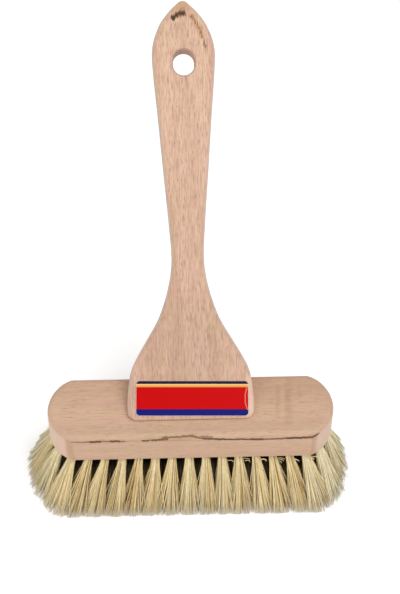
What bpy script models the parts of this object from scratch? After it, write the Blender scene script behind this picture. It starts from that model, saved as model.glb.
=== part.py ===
"""Bathtub brush: a beech block full of plant-fibre tufts, with a long beech handle screwed on at a slant.

The brush stands on its tufts. +X runs along the block, +Y leans away with the handle, and +Z is up.
The origin is under the middle of the whole brush, on the surface that it stands on.
"""

import math

import bmesh
import bpy
from mathutils import Matrix, Vector

MM = 0.001

# Clearances
GAP = 0.3 * MM  # between pieces that touch on the real brush
OVERRUN = 3 * MM  # how far a cutter runs past what it cuts

# Brush block, a beech plank with round ends
BLOCK_LENGTH = 200 * MM
BLOCK_WIDTH = 52 * MM
BLOCK_THICKNESS = 27 * MM
BLOCK_END_RADIUS = 29 * MM  # a little over half the width, so the ends meet the long walls at a blunt corner
BLOCK_TOP_ROUNDING = 4 * MM
BLOCK_RIM_ROUNDING = 1 * MM
BED_RIM = 1.8 * MM  # wood left round the bed of the tufts
BED_DEPTH = 4 * MM

# Tufts, in two rings that follow the block's outline and one row along its middle
BRISTLE_LENGTH = 50 * MM  # from the wood to the flat-cut tips
OUTER_INSET = 5.9 * MM  # from the block's edge to the outer ring of tufts
RING_SPACING = (BLOCK_WIDTH / 2 - OUTER_INSET) / 2  # so that the middle row is as far again
TUFT_PITCH = 11.75 * MM
OUTER_START_SHARE = 0.84  # of one pitch, from the middle of the front wall
INNER_START_SHARE = 0.30
STRANDS_ROUND_TUFT = 5  # and one more in its middle
STRAND_SIDES = 3
STRAND_ROOT_RADIUS = 0.85 * MM
STRAND_TIP_RADIUS = 0.6 * MM
TUFT_ROOT_RADIUS = 2.0 * MM  # to the middle of its outer strands
TUFT_TIP_RADIUS = 5 * MM
SPLAY_ALONG = 16.5 * MM  # how far the end tufts lean out past their roots
SPLAY_ACROSS = 13.5 * MM  # how far the outer tufts lean out over the long walls
SLICE_THICKNESS = 3.4 * MM
STRAND_SINK = 1.5 * MM  # how deep a strand is fused into its slice

# Handle, one beech board
HANDLE_LENGTH = 303.8 * MM
HANDLE_FOOT_WIDTH = 88.2 * MM
HANDLE_THICKNESS = 14 * MM
HANDLE_RISE = math.radians(28)  # of its face over the block's top
HANDLE_SETBACK = 13.4 * MM  # from the block's front wall to the foot's front edge
HANDLE_TOE = 2 * MM  # height of the foot's blunt front edge
HANDLE_EDGE_ROUNDING = 3.5 * MM
HANDLE_TOE_ROUNDING = 0.8 * MM
FOOT_CORNER_RADIUS = 6.5 * MM
HANDLE_NOSE_RADIUS = 6.5 * MM  # of the blunted point at its tip

# The handle's edge from the foot to the tip: shares of its length and of half the foot's width
HANDLE_OUTLINE_SHARES = (
    (0.0415, 1.000),
    (0.075, 0.983),
    (0.106, 0.951),
    (0.125, 0.908),
    (0.1435, 0.844),
    (0.162, 0.772),
    (0.181, 0.696),
    (0.200, 0.618),
    (0.218, 0.546),
    (0.2365, 0.481),
    (0.256, 0.429),
    (0.275, 0.385),
    (0.293, 0.347),
    (0.312, 0.317),
    (0.331, 0.289),
    (0.355, 0.268),
    (0.3785, 0.2595),
    (0.407, 0.265),
    (0.455, 0.290),
    (0.503, 0.317),
    (0.551, 0.345),
    (0.599, 0.373),
    (0.648, 0.400),
    (0.696, 0.426),
    (0.740, 0.451),
    (0.7745, 0.473),
    (0.805, 0.491),
    (0.833, 0.506),
    (0.850, 0.514),
    (0.868, 0.519),
    (0.8835, 0.512),
    (0.898, 0.4965),
    (0.910, 0.475),
    (0.920, 0.452),
    (0.932, 0.419),
    (0.943, 0.387),
    (0.954, 0.341),
    (0.965, 0.286),
    (0.973, 0.243),
    (0.980, 0.202),
    (0.9865, 0.158),
)

# Hanging hole, a short slot with a chamfered rim on both faces
HOLE_WIDTH = 15.4 * MM
HOLE_HEIGHT = 19.8 * MM
HOLE_FROM_TIP = 46.2 * MM  # from the tip to the slot's middle
HOLE_CHAMFER = 1.0 * MM

# Label on the foot
LABEL_LENGTH = 78 * MM
LABEL_WIDTH = 24.5 * MM
LABEL_THICKNESS = 0.3 * MM
LABEL_FROM_TOE = 2.2 * MM
LABEL_OFF_CENTRE = 1 * MM
LABEL_TURN = math.radians(-1.1)  # it was stuck on a little askew
LABEL_CORNER_RADIUS = 2.6 * MM

# Countersunk wood screws through the foot into the block, with their heads under the label
SCREW_LENGTH = 24 * MM
SCREW_HEAD_DIAMETER = 8 * MM
SCREW_SHANK_DIAMETER = 4 * MM
SCREW_POINT_LENGTH = 5 * MM
SCREW_HEAD_LIP = 0.4 * MM
SCREW_SINK = 0.6 * MM  # depth of its head under the handle's face
SCREW_SPACING = 26 * MM
SCREW_FROM_TOE = 13 * MM

# How finely round shapes are drawn
ARC_STEPS = 14  # in the half circle at one end of a slot shape
ROUND_STEPS = 24
ROUNDING_SEGMENTS = 3
WELD = 0.01 * MM
SMOOTH_ANGLE = math.radians(40)

BEECH = ("beech", (0.66, 0.46, 0.34, 1), 0.6, 0)
FIBRE = ("pale_fibre", (0.62, 0.50, 0.27, 1), 0.8, 0)
PAPER = ("printed_paper", (0.64, 0.01, 0.01, 1), 0.4, 0)
STEEL = ("zinc_plated_steel", (0.62, 0.62, 0.60, 1), 0.35, 1)

# Heights over the surface that the brush stands on
BLOCK_BOTTOM = BRISTLE_LENGTH
BLOCK_TOP = BLOCK_BOTTOM + BLOCK_THICKNESS
SLICE_TOP = BLOCK_BOTTOM + BED_DEPTH - GAP
SLICE_BOTTOM = SLICE_TOP - SLICE_THICKNESS


def new_collection(name):
    collection = bpy.data.collections.new(name)
    bpy.context.scene.collection.children.link(collection)
    return collection


def new_material(name, colour, roughness, metallic):
    material = bpy.data.materials.new(name)
    material.use_nodes = True
    shader = material.node_tree.nodes["Principled BSDF"]
    shader.inputs["Base Color"].default_value = colour
    shader.inputs["Roughness"].default_value = roughness
    shader.inputs["Metallic"].default_value = metallic
    material.diffuse_color = colour
    return material


def new_object(name, mesh, collection):
    made = bpy.data.objects.new(name, mesh)
    collection.objects.link(made)
    return made


def finish_part(part, parent, material):
    """Gives a sub-part its parent, its own material and smooth shading."""
    part.parent = parent
    part.data.materials.clear()
    part.data.materials.append(new_material(part.name + "_" + material[0], *material[1:]))
    part.data.shade_smooth()
    part.data.set_sharp_from_angle(angle=SMOOTH_ANGLE)
    return part


def as_cutter(part, parent):
    part.parent = parent
    part.hide_render = True
    part.display_type = "WIRE"
    return part


def boolean(part, other, operation):
    """Keeps a Boolean with another object on the part."""
    modifier = part.modifiers.new(operation.lower() + "_" + other.name, "BOOLEAN")
    modifier.operation = operation
    modifier.object = other
    modifier.solver = "EXACT"
    return modifier


def board(name, outlines, top, thickness, collection):
    """A flat board cut to closed outlines, the first its edge and any others its holes. Its upper face is at top."""
    curve = bpy.data.curves.new(name + "_outline", "CURVE")
    curve.dimensions = "2D"
    curve.fill_mode = "BOTH"
    curve.extrude = thickness / 2
    for outline in outlines:
        spline = curve.splines.new("POLY")
        spline.points.add(len(outline) - 1)
        for point, (x, y) in zip(spline.points, outline):
            point.co = (x, y, 0, 1)
        spline.use_cyclic_u = True
    drawn = new_object(name + "_drawn", curve, collection)
    drawn.location.z = top - thickness / 2
    bpy.context.view_layer.update()
    depsgraph = bpy.context.evaluated_depsgraph_get()
    mesh = bpy.data.meshes.new_from_object(drawn.evaluated_get(depsgraph))
    mesh.transform(drawn.matrix_world)
    bpy.data.objects.remove(drawn)
    shape = bmesh.new()
    shape.from_mesh(mesh)
    bmesh.ops.remove_doubles(shape, verts=shape.verts, dist=WELD)
    if len(outlines) == 1:
        bmesh.ops.dissolve_limit(shape, angle_limit=math.radians(1), verts=shape.verts, edges=shape.edges)
    bmesh.ops.recalc_face_normals(shape, faces=shape.faces)
    shape.to_mesh(mesh)
    shape.free()
    mesh.name = name
    return new_object(name, mesh, collection)


def round_rims(part, width, share_of):
    """Bevels the edges of a board's two faces. share_of gives each edge's share of the width from its middle."""
    mesh = part.data
    weights = mesh.attributes.new("bevel_weight_edge", "FLOAT", "EDGE")
    heights = [vertex.co.z for vertex in mesh.vertices]
    low, high = min(heights), max(heights)
    for edge in mesh.edges:
        a, b = (mesh.vertices[index].co for index in edge.vertices)
        on_face = abs(a.z - b.z) < WELD and min(abs(a.z - low), abs(a.z - high)) < WELD
        weights.data[edge.index].value = share_of((a + b) / 2, a.z > (low + high) / 2) if on_face else 0
    modifier = part.modifiers.new("rounded_rims", "BEVEL")
    modifier.limit_method = "WEIGHT"
    modifier.width = width
    modifier.segments = ROUNDING_SEGMENTS
    modifier.use_clamp_overlap = False


def turned(name, profile, collection):
    """A turned shape from (radius, height) points that run down its outer side."""
    mesh = bpy.data.meshes.new(name)
    points = [(radius, 0, height) for radius, height in profile]
    mesh.from_pydata(points, [(i, i + 1) for i in range(len(points) - 1)], [])
    made = new_object(name, mesh, collection)
    modifier = made.modifiers.new("turn", "SCREW")
    modifier.steps = ROUND_STEPS
    modifier.render_steps = ROUND_STEPS
    modifier.use_merge_vertices = True
    modifier.merge_threshold = WELD
    return made


def arc(centre, radius, start, end, steps):
    """Points round a centre from one angle to another, both ends included."""
    angles = [start + (end - start) * i / steps for i in range(steps + 1)]
    return [(centre[0] + radius * math.cos(a), centre[1] + radius * math.sin(a)) for a in angles]


def slot_outline(run, radius):
    """Two half circles of one radius, whose centres lie a run apart along X."""
    right = arc((run / 2, 0), radius, -math.pi / 2, math.pi / 2, ARC_STEPS)
    return right + [(-x, -y) for x, y in right]


def block_outline():
    """The block from above: straight long walls and round ends, which meet them at a blunt corner."""
    radius = max(BLOCK_END_RADIUS, BLOCK_WIDTH / 2)
    reach = math.asin(BLOCK_WIDTH / 2 / radius)
    right = arc((BLOCK_LENGTH / 2 - radius, 0), radius, -reach, reach, ARC_STEPS)
    return right + [(-x, -y) for x, y in right]


def bed_outline(inset):
    """A slot shape that lies inset from the largest slot shape inside the block."""
    return slot_outline(BLOCK_LENGTH - BLOCK_WIDTH, BLOCK_WIDTH / 2 - inset)


def make_block(parent, parts, cutters):
    block = board("brush_block", [block_outline()], BLOCK_TOP, BLOCK_THICKNESS, parts)
    rim_share = BLOCK_RIM_ROUNDING / BLOCK_TOP_ROUNDING
    round_rims(block, BLOCK_TOP_ROUNDING, lambda middle, upper: 1 if upper else rim_share)
    bed = board("bed_cutter", [bed_outline(BED_RIM)], BLOCK_BOTTOM + BED_DEPTH, BED_DEPTH + OVERRUN, cutters)
    boolean(block, as_cutter(bed, parent), "DIFFERENCE")
    return finish_part(block, parent, BEECH)


def ring_places(inset, start_share):
    """Tuft centres on the closed path that lies inset from the block's edge, spaced by about one pitch."""
    radius = BLOCK_WIDTH / 2 - inset
    run = BLOCK_LENGTH - BLOCK_WIDTH
    lap = 2 * run + 2 * math.pi * radius
    count = round(lap / TUFT_PITCH)
    places = []
    for index in range(count):
        way = (index + start_share) * lap / count
        for side in (1, -1):
            if way < run / 2:
                places.append((side * way, -side * radius))
                break
            if way < run / 2 + math.pi * radius:
                angle = (way - run / 2) / radius
                places.append((side * (run / 2 + radius * math.sin(angle)), -side * radius * math.cos(angle)))
                break
            if way < run + math.pi * radius:
                places.append((side * (run + math.pi * radius - way), side * radius))
                break
            way -= run + math.pi * radius
    return places


def row_places():
    """Tuft centres along the middle of the block."""
    run = BLOCK_LENGTH - BLOCK_WIDTH
    count = round(run / TUFT_PITCH) + 1
    return [(run * (index / (count - 1)) - run / 2, 0) for index in range(count)]


def add_strand(shape, root, tip, turn):
    """A straight strand from its flat-cut tip on the floor up into its slice."""
    height = SLICE_BOTTOM + STRAND_SINK
    lean = (root - tip) / height
    placed = Matrix(
        (
            (math.cos(turn), -math.sin(turn), lean.x, (root.x + tip.x) / 2),
            (math.sin(turn), math.cos(turn), lean.y, (root.y + tip.y) / 2),
            (0, 0, 1, height / 2),
            (0, 0, 0, 1),
        )
    )
    bmesh.ops.create_cone(
        shape,
        cap_ends=True,
        segments=STRAND_SIDES,
        radius1=STRAND_TIP_RADIUS,
        radius2=STRAND_ROOT_RADIUS,
        depth=height,
        matrix=placed,
    )


def make_strands(name, places, collection):
    """All strands of a node in one mesh. Tips are their roots stretched along X and Y, so no two strands cross."""
    reach_along = BLOCK_LENGTH / 2 - OUTER_INSET
    reach_across = BLOCK_WIDTH / 2 - OUTER_INSET
    stretch = Vector((1 + SPLAY_ALONG / reach_along, 1 + SPLAY_ACROSS / reach_across))
    shape = bmesh.new()
    for number, place in enumerate(places):
        root = Vector(place)
        tip = Vector((root.x * stretch.x, root.y * stretch.y))
        add_strand(shape, root, tip, number)
        for strand in range(STRANDS_ROUND_TUFT):
            angle = 2 * math.pi * strand / STRANDS_ROUND_TUFT + number
            way = Vector((math.cos(angle), math.sin(angle)))
            add_strand(shape, root + way * TUFT_ROOT_RADIUS, tip + way * TUFT_TIP_RADIUS, angle)
    mesh = bpy.data.meshes.new(name)
    shape.to_mesh(mesh)
    shape.free()
    return new_object(name, mesh, collection)


def make_tufts(name, places, outlines, parent, parts, cutters):
    """Tufts of strands fused to the slice of backing that they stand in."""
    slice_ = board(name, outlines, SLICE_TOP, SLICE_THICKNESS, parts)
    strands = make_strands(name + "_strands", places, cutters)
    boolean(slice_, as_cutter(strands, parent), "UNION")
    return finish_part(slice_, parent, FIBRE)


def make_all_tufts(parent, parts, cutters):
    """The outer ring, the inner ring and the middle row, each on a slice that leaves a gap to the next."""
    first_seam = OUTER_INSET + RING_SPACING / 2
    second_seam = first_seam + RING_SPACING
    inner_inset = OUTER_INSET + RING_SPACING
    outer_slice = [bed_outline(BED_RIM + GAP), bed_outline(first_seam - GAP / 2)]
    inner_slice = [bed_outline(first_seam + GAP / 2), bed_outline(second_seam - GAP / 2)]
    middle_slice = [bed_outline(second_seam + GAP / 2)]
    outer_places = ring_places(OUTER_INSET, OUTER_START_SHARE)
    inner_places = ring_places(inner_inset, INNER_START_SHARE)
    return [
        make_tufts("tuft_ring_outer", outer_places, outer_slice, parent, parts, cutters),
        make_tufts("tuft_ring_inner", inner_places, inner_slice, parent, parts, cutters),
        make_tufts("tuft_row_middle", row_places(), middle_slice, parent, parts, cutters),
    ]


def handle_outline():
    """The paddle from its face: the foot's corners, the slender neck, and the pointed tip."""
    half = HANDLE_FOOT_WIDTH / 2
    corner = arc((half - FOOT_CORNER_RADIUS, FOOT_CORNER_RADIUS), FOOT_CORNER_RADIUS, -math.pi / 2, 0, 6)
    side = [(half * across, HANDLE_LENGTH * along) for along, across in HANDLE_OUTLINE_SHARES]
    right = corner + side
    nose = arc((0, HANDLE_LENGTH - HANDLE_NOSE_RADIUS), HANDLE_NOSE_RADIUS, math.pi / 4, 3 * math.pi / 4, 6)
    return right + nose + [(-x, y) for x, y in reversed(right)]


def hull_of_cones(name, middles, lower_radius, upper_radius, bottom, top, collection):
    """The hull round equal upright cones or cylinders: a slot shape, straight or tapered."""
    shape = bmesh.new()
    for middle in middles:
        bmesh.ops.create_cone(
            shape,
            cap_ends=True,
            segments=ROUND_STEPS,
            radius1=lower_radius,
            radius2=upper_radius,
            depth=top - bottom,
            matrix=Matrix.Translation((0, middle, (top + bottom) / 2)),
        )
    hull = bmesh.ops.convex_hull(shape, input=shape.verts)
    inside = [item for item in hull["geom_interior"] if isinstance(item, bmesh.types.BMVert)]
    bmesh.ops.delete(shape, geom=inside, context="VERTS")
    kept = set(hull["geom"])
    loose = [face for face in shape.faces if face not in kept]
    bmesh.ops.delete(shape, geom=loose, context="FACES_ONLY")
    bmesh.ops.delete(shape, geom=[edge for edge in shape.edges if not edge.link_faces], context="EDGES")
    bmesh.ops.dissolve_limit(shape, angle_limit=math.radians(1), verts=shape.verts, edges=shape.edges)
    bmesh.ops.recalc_face_normals(shape, faces=shape.faces)
    mesh = bpy.data.meshes.new(name)
    shape.to_mesh(mesh)
    shape.free()
    return new_object(name, mesh, collection)


def hole_cutters(board_frame, cutters):
    """The slot through the handle and the chamfer on each face."""
    middle = HANDLE_LENGTH - HOLE_FROM_TIP
    offset = (HOLE_HEIGHT - HOLE_WIDTH) / 2
    middles = (middle - offset, middle + offset)
    radius = HOLE_WIDTH / 2
    wide = radius + HOLE_CHAMFER + OVERRUN
    low, high = -HANDLE_THICKNESS, 0
    made = [
        hull_of_cones("hole_cutter", middles, radius, radius, low - OVERRUN, high + OVERRUN, cutters),
        hull_of_cones("hole_upper_chamfer", middles, radius, wide, high - HOLE_CHAMFER, high + OVERRUN, cutters),
        hull_of_cones("hole_lower_chamfer", middles, wide, radius, low - OVERRUN, low + HOLE_CHAMFER, cutters),
    ]
    return [as_cutter(cutter, board_frame) for cutter in made]


def foot_cutter(parent, cutters):
    """A box whose upper face is the plane where the foot meets the block."""
    bpy.ops.mesh.primitive_cube_add(size=1)
    box = bpy.context.object
    box.name = "foot_cutter"
    for collection in box.users_collection:
        collection.objects.unlink(box)
    cutters.objects.link(box)
    depth = HANDLE_THICKNESS + HANDLE_TOE + OVERRUN
    box.scale = (HANDLE_FOOT_WIDTH + 2 * OVERRUN, 2 * BLOCK_WIDTH, depth)
    box.location = (0, 0, BLOCK_TOP + GAP - depth / 2)
    return as_cutter(box, parent)


def screw_profile(clearance):
    """A countersunk wood screw, head up, with its point down the axis. Its head's top is at height 0."""
    head = SCREW_HEAD_DIAMETER / 2 + clearance
    shank = SCREW_SHANK_DIAMETER / 2 + clearance
    lip = SCREW_HEAD_LIP + clearance
    neck = lip + head - shank
    top = SCREW_SINK + OVERRUN if clearance else 0
    return [
        (0, top),
        (head, top),
        (head, -lip),
        (shank, -neck),
        (shank, -(SCREW_LENGTH - SCREW_POINT_LENGTH)),
        (0, -SCREW_LENGTH - clearance),
    ]


def make_screws(board_frame, parts, cutters):
    """Three screws square to the handle's face, and the cutters of their holes."""
    screws = []
    holes = []
    for side, name in ((-1, "left"), (0, "middle"), (1, "right")):
        place = (side * SCREW_SPACING, SCREW_FROM_TOE, -SCREW_SINK)
        screw = turned("handle_screw_" + name, screw_profile(0), parts)
        screw.location = place
        screws.append(finish_part(screw, board_frame, STEEL))
        hole = turned("screw_hole_" + name, screw_profile(GAP), cutters)
        hole.location = place
        holes.append(as_cutter(hole, board_frame))
    return screws, holes


def make_handle(parent, board_frame, screw_holes, parts, cutters):
    handle = board("handle", [handle_outline()], 0, HANDLE_THICKNESS, parts)
    rounding = min(HANDLE_EDGE_ROUNDING, HANDLE_THICKNESS / 2 - GAP)
    toe_share = HANDLE_TOE_ROUNDING / rounding

    def edge_share(middle, upper):
        return toe_share + (1 - toe_share) * min(max(middle.y, 0) / FOOT_CORNER_RADIUS, 1)

    round_rims(handle, rounding, edge_share)
    for cutter in hole_cutters(board_frame, cutters):
        boolean(handle, cutter, "DIFFERENCE")
    boolean(handle, foot_cutter(parent, cutters), "DIFFERENCE")
    for hole in screw_holes:
        boolean(handle, hole, "DIFFERENCE")
    return finish_part(handle, board_frame, BEECH)


def make_label(board_frame, parts):
    """A thin label with rounded corners, just over the face of the foot."""
    half_length = LABEL_LENGTH / 2 - LABEL_CORNER_RADIUS
    half_width = LABEL_WIDTH / 2 - LABEL_CORNER_RADIUS
    outline = []
    for turn, (x, y) in enumerate(((1, -1), (1, 1), (-1, 1), (-1, -1))):
        start = (turn - 1) * math.pi / 2
        outline += arc((x * half_length, y * half_width), LABEL_CORNER_RADIUS, start, start + math.pi / 2, 4)
    label = board("label", [outline], GAP + LABEL_THICKNESS, LABEL_THICKNESS, parts)
    label.location = (LABEL_OFF_CENTRE, LABEL_FROM_TOE + LABEL_WIDTH / 2, 0)
    label.rotation_euler.z = LABEL_TURN
    return finish_part(label, board_frame, PAPER)


def centre_on_floor(root, parts):
    """Moves the whole brush along Y so that the origin is under the middle of its length."""
    bpy.context.view_layer.update()
    depsgraph = bpy.context.evaluated_depsgraph_get()
    places = []
    for part in parts:
        evaluated = part.evaluated_get(depsgraph)
        mesh = evaluated.to_mesh()
        places += [(evaluated.matrix_world @ vertex.co).y for vertex in mesh.vertices]
        evaluated.to_mesh_clear()
    root.location.y -= (min(places) + max(places)) / 2
    bpy.context.view_layer.update()


def main():
    for old in list(bpy.data.objects):
        bpy.data.objects.remove(old)
    parts = new_collection("bathtub_brush")
    cutters = new_collection("cutters")
    root = new_object("brush_frame", None, parts)
    board_frame = new_object("handle_frame", None, parts)
    board_frame.parent = root
    board_frame.location = (0, HANDLE_SETBACK - BLOCK_WIDTH / 2, BLOCK_TOP + HANDLE_TOE)
    board_frame.rotation_euler.x = HANDLE_RISE

    block = make_block(root, parts, cutters)
    tufts = make_all_tufts(root, parts, cutters)
    screws, screw_holes = make_screws(board_frame, parts, cutters)
    for hole in screw_holes:
        boolean(block, hole, "DIFFERENCE")
    handle = make_handle(root, board_frame, screw_holes, parts, cutters)
    label = make_label(board_frame, parts)
    centre_on_floor(root, [block, handle, label, *tufts, *screws])


if __name__ == "__main__":
    main()
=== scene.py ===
"""Bathtub brush: detailed wood, fibre tufts, label and studio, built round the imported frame.

Run it as a script. Each piece has its own operator, and their sizes and colours are in the scene's property groups.
The handle and the label are drawn in the handle's own space: X across, Y from the foot's front edge to the tip,
Z out of its face.
"""

import math

import bmesh
import bpy
import numpy as np
from bpy.props import FloatProperty, FloatVectorProperty, IntProperty, PointerProperty
from mathutils import Matrix, Vector
from mathutils.geometry import tessellate_polygon


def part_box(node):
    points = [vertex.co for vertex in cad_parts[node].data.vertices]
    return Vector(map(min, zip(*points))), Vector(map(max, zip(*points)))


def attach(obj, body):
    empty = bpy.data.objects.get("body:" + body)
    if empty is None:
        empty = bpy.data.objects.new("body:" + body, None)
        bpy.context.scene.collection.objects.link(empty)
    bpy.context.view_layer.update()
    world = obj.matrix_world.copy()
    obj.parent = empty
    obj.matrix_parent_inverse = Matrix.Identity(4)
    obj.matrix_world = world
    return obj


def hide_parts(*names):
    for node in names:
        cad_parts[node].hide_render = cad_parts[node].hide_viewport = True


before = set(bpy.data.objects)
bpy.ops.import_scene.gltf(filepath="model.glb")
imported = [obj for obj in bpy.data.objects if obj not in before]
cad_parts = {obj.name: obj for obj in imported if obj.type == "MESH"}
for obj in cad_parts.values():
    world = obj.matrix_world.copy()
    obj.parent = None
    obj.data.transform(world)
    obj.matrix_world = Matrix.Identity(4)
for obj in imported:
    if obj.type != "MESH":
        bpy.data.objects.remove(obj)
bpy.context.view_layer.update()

bl_info = {
    "name": "Bathtub brush",
    "version": (1, 0, 0),
    "blender": (4, 5, 0),
    "location": "3D View > Sidebar > Brush",
    "description": "Builds the detailed bathtub brush and its studio",
    "category": "Object",
}

MM = 0.001

# The block, from the frame
BLOCK_LOW, BLOCK_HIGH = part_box("brush_block")
BLOCK_LENGTH = BLOCK_HIGH.x - BLOCK_LOW.x
BLOCK_WIDTH = BLOCK_HIGH.y - BLOCK_LOW.y
BLOCK_MIDDLE = (BLOCK_HIGH.y + BLOCK_LOW.y) / 2
BLOCK_TOP, BLOCK_BOTTOM = BLOCK_HIGH.z, BLOCK_LOW.z
LOWER_ROUNDING = 1 * MM
GAP = 0.3 * MM  # between pieces that touch
FLAT_RIM = 0.4 * MM  # inside a rounded edge, so that the face is shaded flat

# The ledge under the block's rounding fades out at the ends. It rises at a tear and at the right corner in front.
LEDGE_END = 90 * MM
LEDGE_RUN = 5 * MM
TEAR_PLACE = -9 * MM
TEAR_REACH = 11 * MM
TEAR_RISE = 2 * MM
HOOK_START = 80 * MM
HOOK_REACH = 8 * MM
HOOK_RISE = 1 * MM

# The scorched line along that ledge: each stroke's ends (x, z), width and strength, in millimetres
SCORCHES = (
    ((-86, 72.9), (86, 72.6), 1.2, 0.3),
    ((-83, 72.9), (-74, 72.7), 1.6, 0.6),
    ((-74, 72.7), (-59, 73.0), 1.7, 0.7),
    ((-70, 72.8), (-63, 72.9), 2.8, 0.95),
    ((-60, 73.2), (-46, 72.8), 1.6, 0.7),
    ((-56, 73.1), (-50, 72.9), 2.6, 0.95),
    ((-34, 73.0), (-29.5, 73.2), 2.2, 0.9),
    ((-27.5, 73.2), (-17, 74.2), 2.8, 0.8),
    ((-20, 75.2), (0, 75.8), 1.8, 0.7),
    ((0, 75.8), (8, 74.0), 2.0, 0.75),
    ((5, 75.2), (14, 74.8), 2.4, 0.6),
    ((8, 73.7), (23, 72.9), 2.4, 1.0),
    ((23, 72.8), (38, 72.5), 1.8, 0.95),
    ((36, 72.4), (54, 72.1), 1.8, 0.9),
    ((41, 72.3), (49, 72.1), 3.2, 0.95),
    ((54, 72.1), (66, 72.7), 2.0, 0.85),
    ((66, 72.7), (82, 73.2), 2.6, 1.0),
    ((82, 73.2), (88, 73.9), 2.8, 0.9),
)

# Faint smudges across the block's top: each stroke's ends (x, and y from the block's middle), width and strength
TOP_SMUDGES = (
    ((68.3, 11), (67.6, -5), 6.5, 1.0),
    ((69.3, 20), (67.6, -15), 9.0, 0.5),
    ((61.7, 14), (60.3, -10), 5.5, 0.6),
    ((77.0, 20), (76.2, 6), 5.0, 0.4),
)

# The marks at the handle's tip: each stroke's ends (x, y), width, strength and core, in millimetres
TIP_BURNS = (
    ((-7.0, 291.4), (-4.6, 292.2), 6.0, 1.0, 0.4),
    ((-4.0, 293.0), (0.4, 293.8), 8.0, 1.0, 0.15),
    ((-1.4, 295.8), (0.2, 298.0), 5.0, 0.55, 0.1),
)
TIP_STAINS = (
    ((6.3, 292.0), (9.5, 286.0), 6.0, 0.6),
    ((9.5, 286.0), (13.5, 277.0), 7.0, 0.55),
    ((-4.0, 294.5), (1.5, 298.5), 12.0, 0.5),
)
TIP_TEAR_WAY = ((6.3, 292.2), (9.3, 286.6), (12.6, 279.6), (14.5, 273.5), (16.4, 267.6))

# Colours of marks and wear, and of painted light and shade
PINK_WOOD_TINT = (1.03, 0.965, 1.02)
YELLOW_WOOD_TINT = (0.98, 1.02, 0.92)
TORN_WOOD = (0.50, 0.29, 0.12)
BACK_TINT = (0.72, 0.68, 0.63)
FRONT_STRIP_TINT = (0.84, 0.86, 0.86)
LIT_END_WALL_TINT = (0.82, 0.62, 0.50)
FOOT_SHADE_TINT = (0.81, 0.80, 0.80)
STAINED_WOOD = (0.52, 0.27, 0.12)
GREYER_EDGE = (0.70, 0.59, 0.52)
LIT_CORNER_TINT = (0.88, 0.64, 0.49)
BORE_WALL_AND_SHADE = (0.44, 0.235, 0.15)
SHADED_RIM_TINT = (0.36, 0.27, 0.22)
BROWN_FIBRE = (0.60, 0.40, 0.16)
CUT_TIP = (0.96, 0.88, 0.72)
DEEP_SHADE = (0.010, 0.003, 0.001)
CREASE_GLINT = (0.80, 0.28, 0.15)
PRINT_TINT = (0.86, 0.86, 0.86)
ZINC = (0.66, 0.66, 0.64)
DULL_ZINC = (0.50, 0.49, 0.45)

# The handle's own space
HANDLE_RISE = math.radians(28)
HANDLE_SETBACK = 13.4 * MM
HANDLE_TOE = 2 * MM
HANDLE_SPACE = Matrix.Translation((0, BLOCK_LOW.y + HANDLE_SETBACK, BLOCK_TOP + HANDLE_TOE)) @ Matrix.Rotation(
    HANDLE_RISE, 4, "X"
)
HANDLE_LENGTH = 303.8 * MM
HANDLE_FOOT_WIDTH = 88.2 * MM
HANDLE_THICKNESS = 14 * MM
FOOT_CORNER_RADIUS = 6.5 * MM
HANDLE_NOSE_RADIUS = 4.5 * MM
HANDLE_NOSE_REACH = 0.8 * MM  # beyond the frame's blunter nose

# The handle's edge from the foot to the tip: shares of its length and of half the foot's width
HANDLE_OUTLINE_SHARES = (
    (0.0415, 1.000),
    (0.075, 0.983),
    (0.106, 0.951),
    (0.125, 0.908),
    (0.1435, 0.844),
    (0.162, 0.772),
    (0.181, 0.696),
    (0.200, 0.618),
    (0.218, 0.546),
    (0.2365, 0.481),
    (0.256, 0.429),
    (0.275, 0.385),
    (0.293, 0.347),
    (0.312, 0.317),
    (0.331, 0.289),
    (0.355, 0.268),
    (0.3785, 0.2595),
    (0.407, 0.265),
    (0.455, 0.290),
    (0.503, 0.317),
    (0.551, 0.345),
    (0.599, 0.373),
    (0.648, 0.400),
    (0.696, 0.426),
    (0.740, 0.451),
    (0.7745, 0.473),
    (0.805, 0.491),
    (0.833, 0.506),
    (0.850, 0.514),
    (0.868, 0.519),
    (0.8835, 0.512),
    (0.898, 0.4965),
    (0.910, 0.475),
    (0.920, 0.452),
    (0.932, 0.419),
    (0.943, 0.387),
    (0.954, 0.341),
    (0.965, 0.286),
    (0.973, 0.243),
    (0.980, 0.202),
    (0.9865, 0.158),
)
HOLE_WIDTH = 15.4 * MM
HOLE_HEIGHT = 19.8 * MM
HOLE_FROM_TIP = 46.2 * MM

# Screws, as the frame has them
SCREW_SPACING = 26 * MM
SCREW_FROM_TOE = 13 * MM
SCREW_HEAD_RADIUS = 4 * MM
SCREW_SHANK_RADIUS = 2 * MM
SCREW_SINK = 0.6 * MM
SCREW_LENGTH = 24 * MM
SCREW_POINT_LENGTH = 5 * MM

# Label
LABEL_LENGTH = 78 * MM
LABEL_WIDTH = 24.5 * MM
LABEL_THICKNESS = 0.3 * MM
LABEL_FROM_TOE = 2.2 * MM
LABEL_OFF_CENTRE = 1 * MM
LABEL_TURN = math.radians(-1.1)
LABEL_CORNER_RADIUS = 2.6 * MM
LABEL_EDGE_RADIUS = 0.08 * MM
LABEL_MIDDLE = (LABEL_OFF_CENTRE, LABEL_FROM_TOE + LABEL_WIDTH / 2, GAP)
LABEL_SPACE = HANDLE_SPACE @ Matrix.Translation(LABEL_MIDDLE) @ Matrix.Rotation(LABEL_TURN, 4, "Z")
LABEL_CREASE_WAY = ((37.9, 7.4), (36.7, 2.6), (36.8, -3.4), (38.2, -7.6))  # (x, y) in millimetres

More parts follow.
